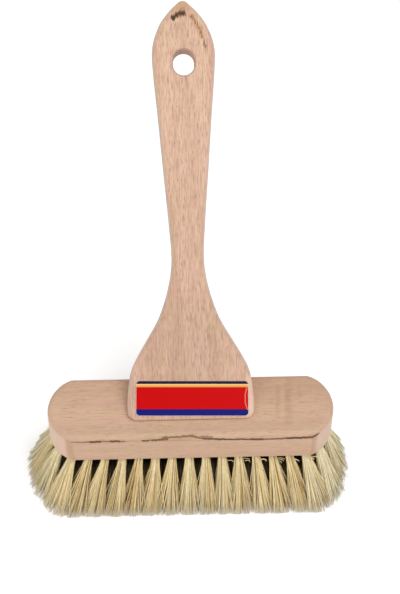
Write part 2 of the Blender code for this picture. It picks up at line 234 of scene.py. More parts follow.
# Tufts, as the frame has them
OUTER_INSET = 5.9 * MM
RING_SPACING = (BLOCK_WIDTH / 2 - OUTER_INSET) / 2
TUFT_PITCH = 11.75 * MM
OUTER_START_SHARE = 0.84
INNER_START_SHARE = 0.30
SPLAY_ALONG = 17.2 * MM  # to the middles of the end tufts' tips
SPLAY_ACROSS = 13.8 * MM
TUFT_HOLE_DEPTH = 3 * MM
ROOT_DEPTH = 0.8 * TUFT_HOLE_DEPTH
TUFTS_LOW, TUFTS_HIGH = (np.array(corner[:2]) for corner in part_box("tuft_ring_outer"))
LEAST_STRAY = 3 * MM  # a fibre this far outside them is free
BRUSHED_BACK = 0.8  # of what lies beyond that

# How the fibres lie in their tufts
FIBRE_STEPS = 5  # places along a fibre
FIBRES_IN_LOCK = 9
STRAY_SHARE = 0.1
STRAY_REACH = 3.5 * MM
LEAN_SPREAD = 0.7 * MM
FAN_START, FAN_RUN = 70 * MM, 18 * MM  # from the middle, where the end tufts fan wider
LIT_END_START, LIT_END_RUN = 76 * MM, 12 * MM  # where they are paler, as painted light on the end tufts
ROOTS_ASIDE = 0.5 * MM
ROOTS_DRAWN_IN = 0.02  # of their distance from the middle
INNER_SHADE = 0.995  # how dark the inner tufts are at the block
CURLS_FROM, CURLS_TO = 16 * MM, 90 * MM  # to the right of the middle, where loose ends curl over the gaps

# The camera that the photograph was taken with, fitted to the brush's corners
CAMERA_FROM_FOOT = Vector((-23.66, -657.07, 979.14)) * MM  # from the foot's front edge
CAMERA_AHEAD = (0.02654, 0.61507, -0.78803)
CAMERA_ROLL = math.radians(-0.93)
FILM = 36  # mm, along the picture's long side

KEY_PLACE = (0.75, -0.5, 1.7)
FILL_PLACE = (-1.0, -1.5, 0.9)
LAMP_AIM = (0, 0, 0.08)
LAMP_SIZE = 1.2
FLOOR_REACH = 4  # metres from the brush to each side

BAKE_MAP = "OFBake"  # the name of the fibres' UV map, one cell to a fibre
SMOOTH_ANGLE = math.radians(38)  # edges that bend less are shaded smooth


# ---------------------------------------------------------------- outlines


def arc(centre, radius, start, end, steps):
    angles = np.linspace(start, end, steps + 1)
    return np.stack((centre[0] + radius * np.cos(angles), centre[1] + radius * np.sin(angles)), 1)


def circle(centre, radius, steps):
    """A closed clockwise loop, as a hole in a board needs it."""
    return arc(centre, radius, 2 * math.pi, 0, steps)[:-1]


def mirrored(points):
    """A closed counter-clockwise loop from its right half, which runs upwards."""
    return np.concatenate((points, points[::-1] * (-1, 1)))


def evenly(points, step):
    """A closed loop drawn again with evenly spaced points."""
    closed = np.concatenate((points, points[:1]))
    runs = np.concatenate(((0,), np.cumsum(np.linalg.norm(np.diff(closed, axis=0), axis=1))))
    at = np.linspace(0, runs[-1], round(runs[-1] / step), endpoint=False)
    return np.stack([np.interp(at, runs, closed[:, axis]) for axis in (0, 1)], 1)


def softened(points, passes):
    """Takes the sharpness off a loop's corners."""
    for _ in range(passes):
        points = (np.roll(points, 1, 0) + 2 * points + np.roll(points, -1, 0)) / 4
    return points


def away(points):
    """Normals that point away from the wood, made longer at corners so that a moved loop keeps its walls parallel."""
    ahead = np.roll(points, -1, 0) - points
    behind = points - np.roll(points, 1, 0)
    ahead /= np.linalg.norm(ahead, axis=1, keepdims=True)
    behind /= np.linalg.norm(behind, axis=1, keepdims=True)
    both = ahead + behind
    return 2 * np.stack((both[:, 1], -both[:, 0]), 1) / np.sum(both**2, 1, keepdims=True)


def block_outline():
    radius = max(29 * MM, BLOCK_WIDTH / 2)
    reach = math.asin(BLOCK_WIDTH / 2 / radius)
    right = arc((BLOCK_LENGTH / 2 - radius, 0), radius, -reach, reach, 60)
    return softened(evenly(mirrored(right), 1.0 * MM), 1) + (0, BLOCK_MIDDLE)


def handle_outline():
    half = HANDLE_FOOT_WIDTH / 2
    corner = arc((half - FOOT_CORNER_RADIUS, FOOT_CORNER_RADIUS), FOOT_CORNER_RADIUS, -math.pi / 2, 0, 12)
    side = np.array([(half * across, HANDLE_LENGTH * along) for along, across in HANDLE_OUTLINE_SHARES])
    end = HANDLE_LENGTH + HANDLE_NOSE_REACH
    nose = arc((0, end - HANDLE_NOSE_RADIUS), HANDLE_NOSE_RADIUS, math.pi / 4, math.pi / 2, 6)[:-1]
    right = np.concatenate((corner, side, nose))
    tip = np.array(((0, end),))
    whole = np.concatenate((right, tip, right[::-1] * (-1, 1)))
    return softened(evenly(whole, 1 * MM), 1)


def slot_hole(middle, width, height, steps):
    """A closed clockwise slot shape that is higher than wide."""
    offset = (height - width) / 2
    upper = arc((0, middle + offset), width / 2, math.pi, 0, steps)
    lower = arc((0, middle - offset), width / 2, 0, -math.pi, steps)
    return np.concatenate((upper, lower))


# ---------------------------------------------------------------- meshes


def quarter(radius, top, steps):
    """(inset, height) pairs over a narrow flat rim and down a rounded upper edge."""
    turns = np.linspace(0, math.pi / 2, steps + 1)
    flat = [(radius + FLAT_RIM, top)]
    return flat + [(radius * (1 - math.sin(turn)), top - radius * (1 - math.cos(turn))) for turn in turns]


def turned_over(pairs, top, bottom):
    """The same edge at the board's lower face."""
    return [(inset, bottom + top - height) for inset, height in reversed(pairs)]


def add_rings(shape, rings):
    """Joins closed rings of places with quads, and returns their vertices."""
    made = [[shape.verts.new(place) for place in ring] for ring in rings]
    for upper, lower in zip(made, made[1:]):
        for i in range(len(upper)):
            shape.faces.new((upper[i], lower[i], lower[i - 1], upper[i - 1]))
    return made


def add_wall(shape, loop, pairs):
    """The wall of a board along a loop, through (inset, height) pairs."""
    out = away(loop)
    rings = []
    for inset, height in pairs:
        moved = loop - out * np.reshape(inset, (-1, 1))
        rings.append(np.column_stack((moved, np.broadcast_to(height, len(loop)))))
    return add_rings(shape, rings)


def add_cap(shape, loops):
    """A flat face inside the first ring and outside the others."""
    vertices = [vertex for loop in loops for vertex in loop]
    for corners in tessellate_polygon([[vertex.co for vertex in loop] for loop in loops]):
        shape.faces.new([vertices[corner] for corner in corners])


def finished(name, shape, material, space=Matrix()):
    """Makes the piece's object. Its mesh was drawn in the given space, and is kept in the world's."""
    bmesh.ops.recalc_face_normals(shape, faces=shape.faces)
    mesh = bpy.data.meshes.new(name)
    shape.to_mesh(mesh)
    shape.free()
    mesh.transform(space)
    mesh.shade_smooth()
    mesh.set_sharp_from_angle(angle=SMOOTH_ANGLE)
    mesh.materials.append(material)
    made = bpy.data.objects.new(name, mesh)
    bpy.context.scene.collection.objects.link(made)
    return made


def settle(piece, slot, *nodes):
    """The piece rides with the brush and stands for CAD nodes. Its slot is not used."""
    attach(piece, "root")
    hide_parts(*nodes)
    return piece


def replace_old(name):
    """Removes a piece that an earlier call of the same operator made."""
    old = bpy.data.objects.get(name)
    if old is not None:
        bpy.data.objects.remove(old)


# ---------------------------------------------------------------- shader nodes


class Shader:
    """One material's node tree, with a short call for each kind of node that the brush uses.

    Colours are sockets or plain red, green and blue.
    """

    def __init__(self, name):
        self.material = bpy.data.materials.new(name)
        self.material.use_nodes = True
        self.tree = self.material.node_tree
        self.principled = self.tree.nodes["Principled BSDF"]

    def add(self, kind, inputs, **settings):
        node = self.tree.nodes.new(kind)
        for name, value in settings.items():
            setattr(node, name, value)
        for name, value in inputs.items():
            if isinstance(value, bpy.types.NodeSocket):
                self.tree.links.new(value, node.inputs[name])
            else:
                node.inputs[name].default_value = value
        return node

    def sum(self, operation, a, b=0.0, c=0.0, clamp=False):
        return self.add("ShaderNodeMath", {0: a, 1: b, 2: c}, operation=operation, use_clamp=clamp).outputs[0]

    def vector(self, operation, a, b=(0, 0, 0), output=0):
        return self.add("ShaderNodeVectorMath", {0: a, 1: b}, operation=operation).outputs[output]

    def places(self, space=Matrix()):
        """The surface's place in the given space, in millimetres."""
        inputs = {
            "Vector": self.add("ShaderNodeTexCoord", {}).outputs["Object"],
            "Location": space.translation,
            "Rotation": space.to_euler(),
        }
        placed = self.add("ShaderNodeMapping", inputs, vector_type="TEXTURE").outputs[0]
        return self.vector("MULTIPLY", placed, (1000, 1000, 1000))

    def parts(self, vector):
        return self.add("ShaderNodeSeparateXYZ", {0: vector}).outputs

    def noise(self, vector, scale, detail=2.0, roughness=0.5):
        """Noise from about 0 to 1 whose grains are 1/scale millimetres along each axis."""
        scaled = self.vector("MULTIPLY", vector, scale)
        inputs = {"Vector": scaled, "Scale": 1.0, "Detail": detail, "Roughness": roughness}
        return self.add("ShaderNodeTexNoise", inputs).outputs[0]

    def between(self, value, low, high, start=0.0, end=1.0):
        """Runs smoothly from start at low to end at high."""
        inputs = {"Value": value, "From Min": low, "From Max": high, "To Min": start, "To Max": end}
        return self.add("ShaderNodeMapRange", inputs, interpolation_type="SMOOTHSTEP").outputs[0]

    def mixed(self, share, a, b, blend="MIX"):
        a, b = (colour if isinstance(colour, bpy.types.NodeSocket) else (*colour, 1) for colour in (a, b))
        inputs = {0: share, 6: a, 7: b}
        return self.add("ShaderNodeMix", inputs, data_type="RGBA", blend_type=blend).outputs[2]

    def tinted(self, share, colour, tint):
        """The colour multiplied by the tint, as far as share says."""
        return self.mixed(share, colour, tint, "MULTIPLY")

    def ramp(self, value, stops):
        node = self.add("ShaderNodeValToRGB", {0: value})
        elements = node.color_ramp.elements
        while len(elements) < len(stops):
            elements.new(1)
        for element, (position, colour) in zip(elements, stops):
            element.position = position
            element.color = (*colour, 1)
        return node.outputs[0]

    def off_line(self, place, start, end):
        """Distance from the line between two points, which may leave out a z of 0."""
        start, end = ((*point, 0)[:3] for point in (start, end))
        along = np.subtract(end, start)
        rest = self.vector("SUBTRACT", place, start)
        share = self.sum("DIVIDE", self.vector("DOT_PRODUCT", rest, tuple(along), 1), float(along @ along), clamp=True)
        on_line = self.add("ShaderNodeVectorMath", {0: tuple(along), 3: share}, operation="SCALE").outputs[0]
        return self.vector("LENGTH", self.vector("SUBTRACT", rest, on_line), output=1)

    def stroke(self, place, start, end, width, strength=1.0, core=0.25):
        """The strength over the core's share of a line's width, which falls to 0 at half the width from the line."""
        return self.between(self.off_line(place, start, end), width / 2, width / 2 * core, 0.0, strength)

    def ragged(self, mask, noise, amount=1.5, level=0.25):
        """The mask eaten away by noise, and kept at its strength where it holds. A higher level eats more."""
        held = self.sum("MULTIPLY_ADD", self.sum("SUBTRACT", noise, 0.5), amount, mask)
        return self.sum("MULTIPLY", mask, self.between(held, level, level + 0.3))

    def most(self, masks):
        """The strongest of several masks."""
        strongest = masks[0]
        for mask in masks[1:]:
            strongest = self.sum("MAXIMUM", strongest, mask)
        return strongest

    def marks(self, place, strokes):
        """The strongest of several strokes: two ends, width, and for some strength and core."""
        return self.most([self.stroke(place, *stroke) for stroke in strokes])

    def bump(self, height, distance, strength):
        inputs = {"Height": height, "Distance": distance, "Strength": strength}
        return self.add("ShaderNodeBump", inputs).outputs[0]

    def finish(self, colour, roughness, normal=None, **numbers):
        for name, value in {"Base Color": colour, "Roughness": roughness, "Normal": normal}.items():
            if isinstance(value, bpy.types.NodeSocket):
                self.tree.links.new(value, self.principled.inputs[name])
            elif value is not None:
                self.principled.inputs[name].default_value = value
        for name, value in numbers.items():
            self.principled.inputs[name.replace("_", " ")].default_value = value
        return self.material


def strokes_along(way, *pen):
    """Strokes from each point of a way to the next, all with the same width, strength and core."""
    return [(*ends, *pen) for ends in zip(way, way[1:])]


def beech(shader, place, along, wood, pale, dark, flecks=1.0):
    """Beech with its grain along axis 0 or 1 of place: broad bands, fine grain and short brown ray flecks.

    Returns its colour and its height.
    """

    def scaled(along_grain, across_grain):
        scale = [across_grain] * 3
        scale[along] = along_grain
        return tuple(scale)

    bands = shader.noise(place, scaled(0.006, 0.09), 3.0, 0.6)
    grain = shader.noise(place, scaled(0.08, 1.1), 4.0, 0.7)
    pores = shader.noise(place, scaled(0.25, 2.8), 2.0, 0.6)
    drift = shader.add("ShaderNodeTexNoise", {"Vector": place, "Scale": 0.05}).outputs[1]
    bent = shader.vector("ADD", place, shader.vector("MULTIPLY", drift, (2, 2, 2)))
    cells = shader.add(
        "ShaderNodeTexVoronoi", {"Vector": shader.vector("MULTIPLY", bent, scaled(0.15, 0.8)), "Scale": 1.0}
    )
    drawn = shader.parts(cells.outputs["Color"])
    size = shader.sum("MULTIPLY_ADD", drawn[0], 0.3, 0.25)
    fleck = shader.between(shader.sum("DIVIDE", cells.outputs["Distance"], size), 1.0, 0.3)
    fleck = shader.sum("MULTIPLY", fleck, shader.between(drawn[1], 0.15, 0.75, 0.1, 1.0))
    colour = shader.mixed(shader.between(bands, 0.3, 0.75, 0.0, 0.45), pale, dark)
    hue = shader.noise(place, scaled(0.012, 0.3), 3.0, 0.7)
    pink, yellow = (shader.tinted(1.0, colour, tint) for tint in (PINK_WOOD_TINT, YELLOW_WOOD_TINT))
    colour = shader.mixed(shader.between(hue, 0.38, 0.62), pink, yellow)
    colour = shader.mixed(shader.between(grain, 0.42, 0.64, 0.0, 0.7), colour, dark)
    colour = shader.mixed(shader.between(pores, 0.52, 0.72, 0.0, 0.35 * flecks), colour, wood.fleck_colour)
    colour = shader.mixed(shader.sum("MULTIPLY", fleck, wood.fleck_strength * flecks), colour, wood.fleck_colour)
    height = shader.sum("MULTIPLY_ADD", pores, -0.5, shader.sum("MULTIPLY_ADD", fleck, -0.3, grain))
    return colour, height


# ---------------------------------------------------------------- settings


class BrushWoodSettings(bpy.types.PropertyGroup):
    """Sizes and colours of the beech handle and block."""

    block_rounding: FloatProperty(
        name="Block rounding", description="Radius of the block's upper edge", default=4 * MM, unit="LENGTH"
    )
    ledge: FloatProperty(
        name="Ledge", description="Depth of the step that the cutter left under the rounding", default=0.45 * MM,
        unit="LENGTH",
    )
    handle_rounding: FloatProperty(
        name="Handle rounding", description="Radius of the handle's edges", default=3.5 * MM, unit="LENGTH"
    )
    toe_rounding: FloatProperty(
        name="Toe rounding", description="Radius of the foot's front edge", default=0.8 * MM, unit="LENGTH"
    )
    hole_rounding: FloatProperty(
        name="Hole rounding", description="Radius of the hanging hole's rim", default=1 * MM, unit="LENGTH"
    )
    handle_colour: FloatVectorProperty(
        name="Handle colour", description="Pale wood of the handle", default=(0.76, 0.52, 0.385), subtype="COLOR"
    )
    handle_dark: FloatVectorProperty(
        name="Handle grain", description="Darker grain of the handle", default=(0.45, 0.255, 0.165), subtype="COLOR"
    )
    block_colour: FloatVectorProperty(
        name="Block colour", description="Pale wood of the block", default=(0.655, 0.44, 0.312), subtype="COLOR"
    )
    block_dark: FloatVectorProperty(
        name="Block grain", description="Darker grain of the block", default=(0.53, 0.335, 0.225), subtype="COLOR"
    )
    fleck_colour: FloatVectorProperty(
        name="Flecks", description="Brown of the short ray flecks", default=(0.39, 0.19, 0.10), subtype="COLOR"
    )
    fleck_strength: FloatProperty(
        name="Fleck strength", description="How dark the flecks are", default=0.6, subtype="FACTOR"
    )
    burn_colour: FloatVectorProperty(
        name="Burn", description="Brown of scorched and torn wood", default=(0.060, 0.024, 0.007), subtype="COLOR"
    )


class BrushTuftSettings(bpy.types.PropertyGroup):
    """Numbers, sizes and colours of the fibres."""

    outer_fibres: IntProperty(name="Outer fibres", description="Fibres in a tuft of the outer ring", default=400)
    inner_fibres: IntProperty(name="Inner fibres", description="Fibres in a tuft further in", default=240)
    fibre_radius: FloatProperty(
        name="Fibre radius", description="Half the thickness of one fibre", default=0.31 * MM, unit="LENGTH"
    )
    hole_radius: FloatProperty(
        name="Hole radius", description="Radius of a tuft's hole in the block", default=2.5 * MM, unit="LENGTH"
    )
    spread: FloatProperty(
        name="Spread", description="Radius of a tuft at its tips, along the brush's edge", default=10 * MM,
        unit="LENGTH",
    )
    reach: FloatProperty(
        name="Reach", description="Radius of a tuft at its tips, out from the brush", default=8.2 * MM, unit="LENGTH"
    )
    wave: FloatProperty(
        name="Wave", description="How far a fibre strays from a straight line", default=0.45 * MM, unit="LENGTH"
    )
    uneven: FloatProperty(
        name="Uneven tips", description="How much shorter the shortest fibres are", default=3 * MM, unit="LENGTH"
    )
    straw: FloatVectorProperty(
        name="Straw", description="Colour of most fibres", default=(0.97, 0.79, 0.43), subtype="COLOR"
    )
    light: FloatVectorProperty(
        name="Light fibres", description="Colour of the palest fibres", default=(0.97, 0.90, 0.64), subtype="COLOR"
    )
    olive: FloatVectorProperty(
        name="Dark fibres", description="Colour of the darkest fibres", default=(0.24, 0.14, 0.045), subtype="COLOR"
    )
    lean: FloatVectorProperty(
        name="Lean", description="How far all tips are brushed to the left and the front", size=2,
        default=(-1.6 * MM, -2.9 * MM), unit="LENGTH",
    )
    seed: IntProperty(name="Seed", description="Another lie of the same fibres", default=7)


class BrushLabelSettings(bpy.types.PropertyGroup):
    """Colours of the label's plain stripes."""

    border: FloatVectorProperty(
        name="Border", description="Thin edge of the paper", default=(0.80, 0.76, 0.84), subtype="COLOR"
    )
    navy: FloatVectorProperty(
        name="Navy", description="Narrow upper stripe", default=(0.020, 0.009, 0.030), subtype="COLOR"
    )
    yellow: FloatVectorProperty(
        name="Yellow", description="Upper side of the second stripe", default=(0.89, 0.62, 0.23), subtype="COLOR"
    )
    orange: FloatVectorProperty(
        name="Orange", description="Lower side of the second stripe", default=(0.80, 0.20, 0.03), subtype="COLOR"
    )
    red: FloatVectorProperty(name="Red", description="Main field", default=(0.56, 0.001, 0.002), subtype="COLOR")
    blue: FloatVectorProperty(name="Blue", description="Lower stripe", default=(0.010, 0.009, 0.155), subtype="COLOR")


class BrushStageSettings(bpy.types.PropertyGroup):
    """Camera, lamps and floor."""

    lens: FloatProperty(name="Lens", description="Focal length", default=103.0, unit="CAMERA")
    key: FloatProperty(
        name="Key lamp", description="Power of the large lamp on the right", default=15.0, unit="POWER"
    )
    fill: FloatProperty(
        name="Fill lamp", description="Power of the lamp in front on the left", default=11.0, unit="POWER"
    )
    sky: FloatProperty(name="Sky", description="Strength of the white surroundings", default=0.55, min=0)
    floor_glow: FloatProperty(
        name="Floor glow", description="Light that the camera sees on the floor, over its own shading", default=0.35
    )
    floor_colour: FloatVectorProperty(
        name="Floor", description="Colour of the floor", default=(0.86, 0.86, 0.86), subtype="COLOR"
    )


# ---------------------------------------------------------------- block


def ring_places(inset, start_share):
    """Tuft centres on the closed path that lies inset from the block's edge."""
    radius = BLOCK_WIDTH / 2 - inset
    run = BLOCK_LENGTH - BLOCK_WIDTH
    bend = math.pi * radius
    lap = 2 * run + 2 * bend
    count = round(lap / TUFT_PITCH)
    places = []
    for index in range(count):
        way = (index + start_share) * lap / count
        half = way % (run + bend)
        side = 1 if way < run + bend else -1
        if half < run / 2:
            place = (half, -radius)
        elif half < run / 2 + bend:
            angle = (half - run / 2) / radius
            place = (run / 2 + radius * math.sin(angle), -radius * math.cos(angle))
        else:
            place = (run + bend - half, radius)
        places.append((side * place[0], BLOCK_MIDDLE + side * place[1]))
    return places


def row_places():
    run = BLOCK_LENGTH - BLOCK_WIDTH
    count = round(run / TUFT_PITCH) + 1
    return [(x, BLOCK_MIDDLE) for x in np.linspace(-run / 2, run / 2, count)]


def all_places():
    return {
        "tuft_ring_outer": ring_places(OUTER_INSET, OUTER_START_SHARE),
        "tuft_ring_inner": ring_places(OUTER_INSET + RING_SPACING, INNER_START_SHARE),
        "tuft_row_middle": row_places(),
    }


def screw_bore(side, radius, height, steps=20):
    """A ring of the slanted bore where it meets a level plane, clockwise seen from above."""
    axis = (HANDLE_SPACE.to_3x3() @ Vector((0, 0, 1))).normalized()
    ring = []
    for x, y in circle((side * SCREW_SPACING, SCREW_FROM_TOE), radius, steps):
        start = HANDLE_SPACE @ Vector((x, y, 0))
        ring.append(start + axis * ((height - start.z) / axis.z))
    return ring


def ledge_height(wood):
    return (BLOCK_TOP - wood.block_rounding) / MM


def scorched(shader, wood, place, colour):
    """The block's front with its scorched line, torn wood and darker corners.

    Returns its colour, and how much of it is scorched.
    """
    y, z = shader.parts(place)[1:]
    ledge = ledge_height(wood)
    front = shader.between(y, BLOCK_LOW.y / MM + 8, BLOCK_LOW.y / MM + 4)
    wander = shader.noise(shader.vector("MULTIPLY", place, (1, 0, 0)), (0.3, 1, 1), 3.0, 0.6)
    wander = shader.vector("MULTIPLY", shader.sum("SUBTRACT", wander, 0.5), (0, 0, 2.2))
    flat = shader.vector("ADD", shader.vector("MULTIPLY", place, (1, 0, 1)), wander)
    fine = shader.noise(place, (0.4, 0.9, 1.8), 3.0, 0.7)
    halo = shader.between(shader.sum("ABSOLUTE", shader.sum("SUBTRACT", z, ledge)), 3.2, 0.4, 0.0, 0.16)
    colour = shader.mixed(shader.sum("MULTIPLY", halo, front), colour, wood.fleck_colour)
    torn = shader.stroke(flat, (-29, 0, ledge + 1), (3, 0, ledge + 2.2), 5.0)
    torn = shader.sum("MULTIPLY", shader.ragged(torn, fine, 1.2), front)
    colour = shader.mixed(shader.sum("MULTIPLY", torn, 0.45), colour, TORN_WOOD)
    corners = (
        ((-84.6, 0, ledge - 3), (-83.4, 0, BLOCK_BOTTOM / MM + 3), 7.0),
        ((84.6, 0, ledge - 2), (84.2, 0, BLOCK_BOTTOM / MM + 1), 4.0),
    )
    corner = shader.sum("MULTIPLY", shader.marks(flat, corners), shader.between(fine, 0.3, 0.6, 0.1, 0.4))
    colour = shader.mixed(shader.sum("MULTIPLY", corner, front), colour, wood.fleck_colour)
    scorches = [((a[0], 0, a[1]), (b[0], 0, b[1]), *pen) for a, b, *pen in SCORCHES]
    burn = shader.sum("MULTIPLY", shader.ragged(shader.marks(flat, scorches), fine, 1.2, 0.1), front)
    return shader.mixed(shader.sum("MULTIPLY", burn, 0.96), colour, wood.burn_colour), burn


def toned_top(shader, wood, place, colour):
    """The block's top with faint smudges, darker to the back and the right and along the front."""
    x, y, z = shader.parts(place)
    middle = BLOCK_MIDDLE / MM
    ledge = ledge_height(wood)
    streaks = shader.noise(place, (0.2, 0.9, 0.5), 3.0, 0.7)
    smudges = [((a[0], middle + a[1]), (b[0], middle + b[1]), *pen) for a, b, *pen in TOP_SMUDGES]
    smudge = shader.marks(shader.vector("MULTIPLY", place, (1, 1, 0)), smudges)
    smudge = shader.sum("MULTIPLY", smudge, shader.between(streaks, 0.35, 0.6, 0.35))
    colour = shader.mixed(shader.sum("MULTIPLY", smudge, 0.45), colour, wood.fleck_colour)
    across = shader.sum("MULTIPLY_ADD", x, 0.08, y)
    colour = shader.tinted(shader.between(across, middle - 10, middle + 30, 0.0, 0.42), colour, BACK_TINT)
    near_front = shader.between(y, BLOCK_LOW.y / MM + 14, BLOCK_LOW.y / MM + 8, 0.0, 0.35)
    strip = shader.sum("MULTIPLY", near_front, shader.between(z, ledge, ledge + 1))
    return shader.tinted(strip, colour, FRONT_STRIP_TINT)


def block_material(wood):
    shader = Shader("block_beech")
    place = shader.places()
    colour, height = beech(shader, place, 0, wood, wood.block_colour, wood.block_dark, 0.7)
    colour, burn = scorched(shader, wood, place, colour)
    colour = toned_top(shader, wood, place, colour)
    x, _, z = shader.parts(place)
    walls = shader.between(z, BLOCK_TOP / MM - 1.0, BLOCK_TOP / MM - 4.0)
    # Painted light: the round end walls are lighter
    ends = shader.sum("MULTIPLY", shader.between(shader.sum("ABSOLUTE", x), 86.0, 89.0, 0.0, 0.42), walls)
    colour = shader.mixed(ends, colour, LIT_END_WALL_TINT)
    roughness = shader.between(height, 0.0, 1.0, 0.62, 0.5)
    normal = shader.bump(shader.sum("MULTIPLY_ADD", burn, -2.0, height), 0.1 * MM, 0.6)
    return shader.finish(colour, roughness, normal, Specular_IOR_Level=0.35)


def upper_edge(wood, outline):
    """(inset, height) pairs down the block's rounding and over the step that the cutter left under it."""
    x, front = outline[:, 0], outline[:, 1] < BLOCK_MIDDLE
    ledge = wood.ledge * np.clip((LEDGE_END - np.abs(x)) / LEDGE_RUN, 0, 1)
    # Where the cutter left the edge early
    rise = TEAR_RISE * np.exp(-(((x - TEAR_PLACE) / TEAR_REACH) ** 2))
    rise += HOOK_RISE * np.clip((x - HOOK_START) / HOOK_REACH, 0, 1) ** 1.5
    rise = np.where(front & (ledge > 0), rise, 0)
    last_turn = np.arccos(np.clip(rise / wood.block_rounding, 0, 1))
    pairs = [(wood.block_rounding + wood.ledge + FLAT_RIM, BLOCK_TOP)]
    for share in np.linspace(0, 1, 10):
        turn = last_turn * share
        inset = ledge + wood.block_rounding * (1 - np.sin(turn))
        pairs.append((inset, BLOCK_TOP - wood.block_rounding * (1 - np.cos(turn))))
    last_inset, last_height = pairs[-1]
    return [*pairs, (last_inset * 0.9, last_height - 0.25 * MM), (0, last_height - 0.55 * MM)]


def add_screw_bores(shape):
    """The block's bores for the screws. Returns the rings where they open."""
    radius = SCREW_SHANK_RADIUS + GAP
    depth = (SCREW_LENGTH - SCREW_POINT_LENGTH) * math.cos(HANDLE_RISE)
    bottom = BLOCK_TOP + HANDLE_TOE + SCREW_FROM_TOE * math.sin(HANDLE_RISE) - depth
    point = bottom - SCREW_POINT_LENGTH * math.cos(HANDLE_RISE)
    mouths = []
    for side in (-1, 0, 1):
        levels = ((radius, BLOCK_TOP), (radius, bottom), (radius / 8, point))
        bore = add_rings(shape, [screw_bore(side, *level) for level in levels])
        add_cap(shape, [bore[-1]])
        mouths.append(bore[0])
    return mouths


def add_tuft_holes(shape, radius):
    """A blind hole for every tuft. Returns the rings where they open."""
    pairs = [(0.25 * MM, BLOCK_BOTTOM), (0, BLOCK_BOTTOM + 0.25 * MM), (0, BLOCK_BOTTOM + TUFT_HOLE_DEPTH)]
    mouths = []
    for place in [place for places in all_places().values() for place in places]:
        hole = add_wall(shape, circle(place, radius, 16), pairs)
        add_cap(shape, [hole[-1]])
        mouths.append(hole[0])
    return mouths


def make_block(wood, tufts):
    shape = bmesh.new()
    outline = block_outline()
    lower_edge = turned_over(quarter(LOWER_ROUNDING, BLOCK_TOP, 4), BLOCK_TOP, BLOCK_BOTTOM)
    rings = add_wall(shape, outline, upper_edge(wood, outline) + lower_edge)
    add_cap(shape, [rings[0], *add_screw_bores(shape)])
    add_cap(shape, [rings[-1], *add_tuft_holes(shape, tufts.hole_radius)])
    piece = finished("beech_block", shape, block_material(wood))
    return settle(piece, "block_beech", "brush_block")


# ---------------------------------------------------------------- handle


def marked_tip(shader, wood, place, colour):
    """The stained, torn and burnt marks at the handle's tip, which fray along the grain.

    Returns their colour, and how much of the wood they take.
    """
    flat = shader.vector("MULTIPLY", place, (1, 1, 0))
    on_face = shader.between(shader.parts(place)[2], -3.2, -1.2)
    rough = shader.noise(place, (1.1, 0.28, 0.8), 3.0, 0.7)
    streak = shader.noise(place, (1.0, 0.05, 0.3), 3.0, 0.65)
    frayed = shader.vector("ADD", flat, shader.vector("MULTIPLY", shader.sum("SUBTRACT", streak, 0.5), (0, 9, 0)))
    tears = shader.marks(frayed, strokes_along(TIP_TEAR_WAY, 5.0, 0.8, 0.1))
    tear = shader.sum("MULTIPLY", shader.ragged(tears, rough, 3.0, 0.6), on_face)
    burn = shader.sum("MULTIPLY", shader.ragged(shader.marks(frayed, TIP_BURNS), rough, 2.0, 0.3), on_face)
    stain = shader.sum("MULTIPLY", shader.marks(flat, TIP_STAINS), on_face)
    colour = shader.mixed(stain, colour, STAINED_WOOD)
    colour = shader.mixed(shader.sum("MULTIPLY", tear, 0.8), colour, wood.burn_colour)
    return shader.mixed(burn, colour, wood.burn_colour), shader.most([burn, tear])


def bored_hole(shader, place, colour):
    """The bored wall of the hanging hole, darker wood with painted shade deeper in, and painted shade on its rim
    towards the foot.
    """
    y, z = shader.parts(place)[1:]
    hole = (HANDLE_LENGTH - HOLE_FROM_TIP) / MM
    offset = (HOLE_HEIGHT - HOLE_WIDTH) / MM / 2
    wall = HOLE_WIDTH / MM / 2
    off_middle = shader.off_line(shader.vector("MULTIPLY", place, (1, 1, 0)), (0, hole - offset), (0, hole + offset))
    bore = shader.between(off_middle, wall + 1.6, wall + 0.5)
    # The bored wood darker, with painted shade growing deeper into the hole
    colour = shader.mixed(shader.sum("MULTIPLY", bore, shader.between(z, -0.5, -6.0, 0.3, 0.68)), colour, BORE_WALL_AND_SHADE)
    # Painted shade on the rim's lower side
    rim = shader.between(off_middle, wall + 1.7, wall + 0.8, 0.0, 0.42)
    return shader.mixed(shader.sum("MULTIPLY", rim, shader.between(y, hole + 7, hole - 1)), colour, SHADED_RIM_TINT)


def handle_material(wood):
    shader = Shader("handle_beech")
    place = shader.places(HANDLE_SPACE)
    y, z = shader.parts(place)[1:]
    flat = shader.vector("MULTIPLY", place, (1, 1, 0))
    colour, height = beech(shader, place, 1, wood, wood.handle_colour, wood.handle_dark)
    # Painted shade: darker towards the foot, most of all in its middle
    middle = shader.stroke(flat, (1, 20), (1, 58), 74.0, 0.35)
    foot = shader.sum("ADD", shader.between(y, 230.0, 20.0, 0.0, 0.5), middle)
    colour = shader.tinted(foot, colour, FOOT_SHADE_TINT)
    colour, torn = marked_tip(shader, wood, place, colour)
    # The rounded edges and sides greyer
    colour = shader.mixed(shader.between(z, -0.1, -1.6, 0.0, 0.45), colour, GREYER_EDGE)
    # Painted light: the foot's right corner is lighter
    colour = shader.mixed(shader.stroke(flat, (43, 0), (43, 26), 14.0, 0.5), colour, LIT_CORNER_TINT)
    colour = bored_hole(shader, place, colour)
    roughness = shader.between(height, 0.0, 1.0, 0.6, 0.48)
    normal = shader.bump(shader.sum("MULTIPLY_ADD", torn, -2.0, height), 0.1 * MM, 0.6)
    return shader.finish(colour, roughness, normal, Specular_IOR_Level=0.35)


